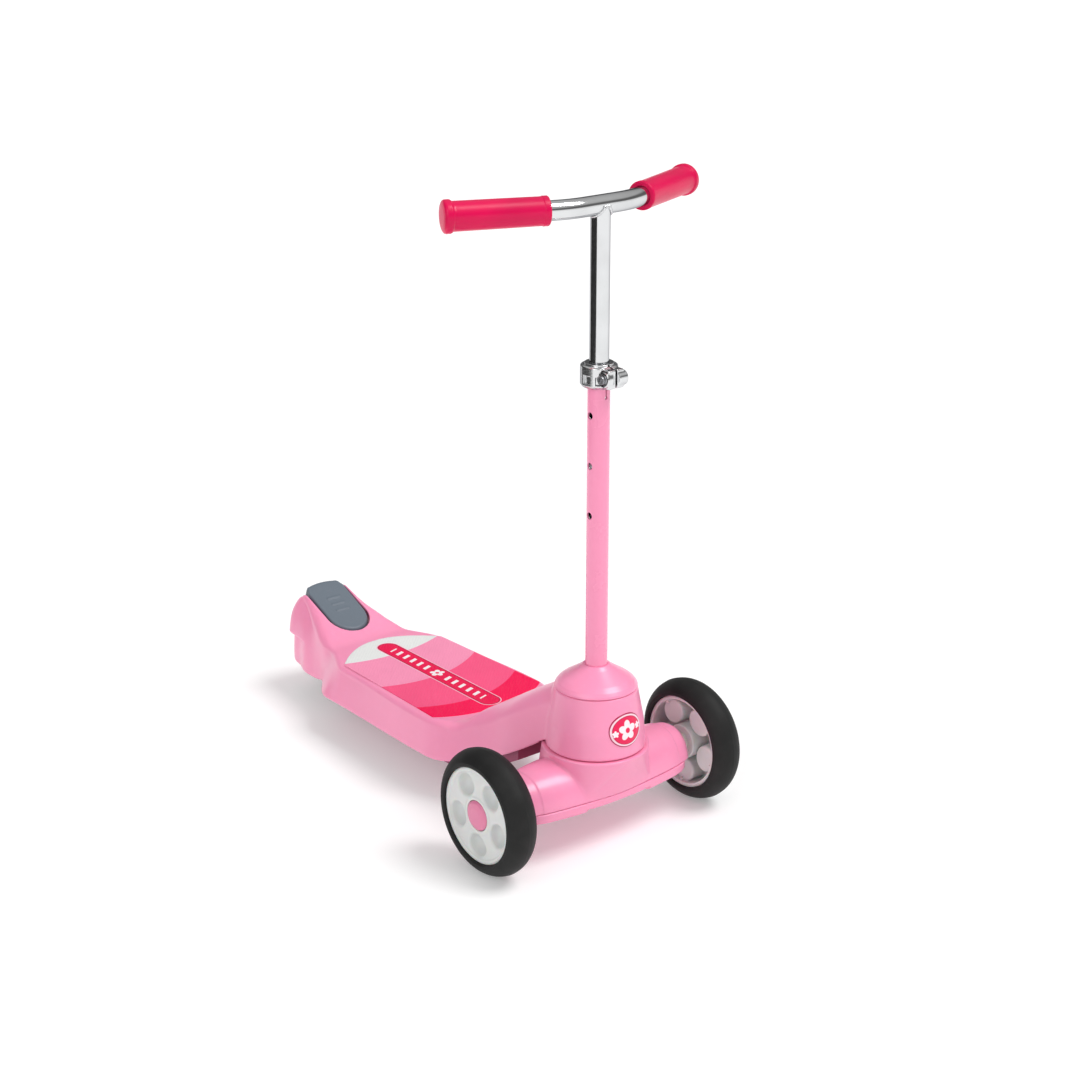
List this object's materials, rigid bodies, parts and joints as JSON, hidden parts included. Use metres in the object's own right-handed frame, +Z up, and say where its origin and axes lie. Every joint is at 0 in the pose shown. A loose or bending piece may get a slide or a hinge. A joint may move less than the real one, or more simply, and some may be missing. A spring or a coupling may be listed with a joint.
{
  "type": "kick scooter",
  "caption": "Toddler's three-wheeled kick scooter with a wide grip deck, steered front wheels, height-adjustable handlebar and a rear fender brake.",
  "frame": {"origin": "on the floor under the middle of the whole scooter's length and width", "axes": "+X forward in the riding direction, +Y to the rider's left, +Z up"},
  "size_m": [0.5805, 0.3078, 0.6682],
  "materials": {
    "body_pink": "moulded, softly glossy",
    "underside_pink": "moulded, satin",
    "grip_sheet": "printed, fine raised texture",
    "badge": "printed and glossy",
    "bush_plastic": "moulded nylon",
    "axle_steel": "drawn rod",
    "fastener_steel": "zinc plated",
    "spring_steel": "spring wire and strip",
    "column_paint": "gloss paint",
    "clamp_metal": "polished casting",
    "chrome": "bright plated",
    "grip_rubber": "soft vinyl",
    "tyre_rubber": "smooth",
    "hub_plastic": "moulded",
    "cap_pink": "moulded",
    "pedal_grey": "fine grain",
    "shoe_rubber": "moulded"
  },
  "bodies": {
    "deck": {"deck_shell": "body_pink", "underframe": "underside_pink", "deck_mat": "grip_sheet", "head_badge": "badge", "upper_bush": "bush_plastic", "lower_bush": "bush_plastic", "rear_axle": "axle_steel", "rear_axle_nuts": "fastener_steel", "brake_pin": "axle_steel", "brake_spring": "spring_steel", "deck_screws": "fastener_steel"},
    "steering": {"axle_housing": "body_pink", "housing_cover": "body_pink", "head_cap": "body_pink", "column_tube": "column_paint", "column_bolt": "fastener_steel", "front_axle": "axle_steel", "axle_washers": "fastener_steel", "axle_nuts": "fastener_steel", "housing_screws": "fastener_steel", "clamp_collar": "clamp_metal", "clamp_bolt": "fastener_steel"},
    "handlebar": {"stem_tube": "chrome", "crossbar": "chrome", "grip_left": "grip_rubber", "grip_right": "grip_rubber", "button_spring": "spring_steel"},
    "button": {"snap_button": "fastener_steel"},
    "wheel_left": {"tyre_left": "tyre_rubber", "hub_left": "hub_plastic", "bush_left": "bush_plastic", "hub_cap_left": "cap_pink"},
    "wheel_right": {"tyre_right": "tyre_rubber", "hub_right": "hub_plastic", "bush_right": "bush_plastic", "hub_cap_right": "cap_pink"},
    "wheel_rear": {"rear_tyre": "tyre_rubber", "rear_hub": "hub_plastic"},
    "pedal": {"brake_pedal": "pedal_grey", "brake_shoe": "shoe_rubber"}
  },
  "joints": [
    {"name": "steering_turn", "type": "hinge", "parent": "deck", "child": "steering", "pos_m": [0.2276, 0, 0.103], "axis": [0, 0, 1], "range_deg": [-20, 20]},
    {"name": "handlebar_height", "type": "slide", "parent": "steering", "child": "handlebar", "axis": [0, 0, 1], "range_m": [-0.0508, 0.0508]},
    {"name": "snap_button_press", "type": "slide", "parent": "handlebar", "child": "button", "axis": [0, 1, 0], "range_m": [-0.003, 0], "stiffness_N_per_m": 900, "springref_m": -0.006},
    {"name": "front_wheel_left_spin", "type": "hinge", "parent": "steering", "child": "wheel_left", "pos_m": [0.2246, 0.1362, 0.0658], "axis": [0, 1, 0], "continuous": true},
    {"name": "front_wheel_right_spin", "type": "hinge", "parent": "steering", "child": "wheel_right", "pos_m": [0.2246, -0.1362, 0.0658], "axis": [0, 1, 0], "continuous": true},
    {"name": "rear_wheel_spin", "type": "hinge", "parent": "deck", "child": "wheel_rear", "pos_m": [-0.2304, 0, 0.042], "axis": [0, 1, 0], "continuous": true},
    {"name": "brake_pedal_press", "type": "hinge", "parent": "deck", "child": "pedal", "pos_m": [-0.1894, 0, 0.078], "axis": [0, -1, 0], "range_deg": [0, 3.5], "stiffness_Nm_per_rad": 3, "springref_deg": -8.59}
  ]
}
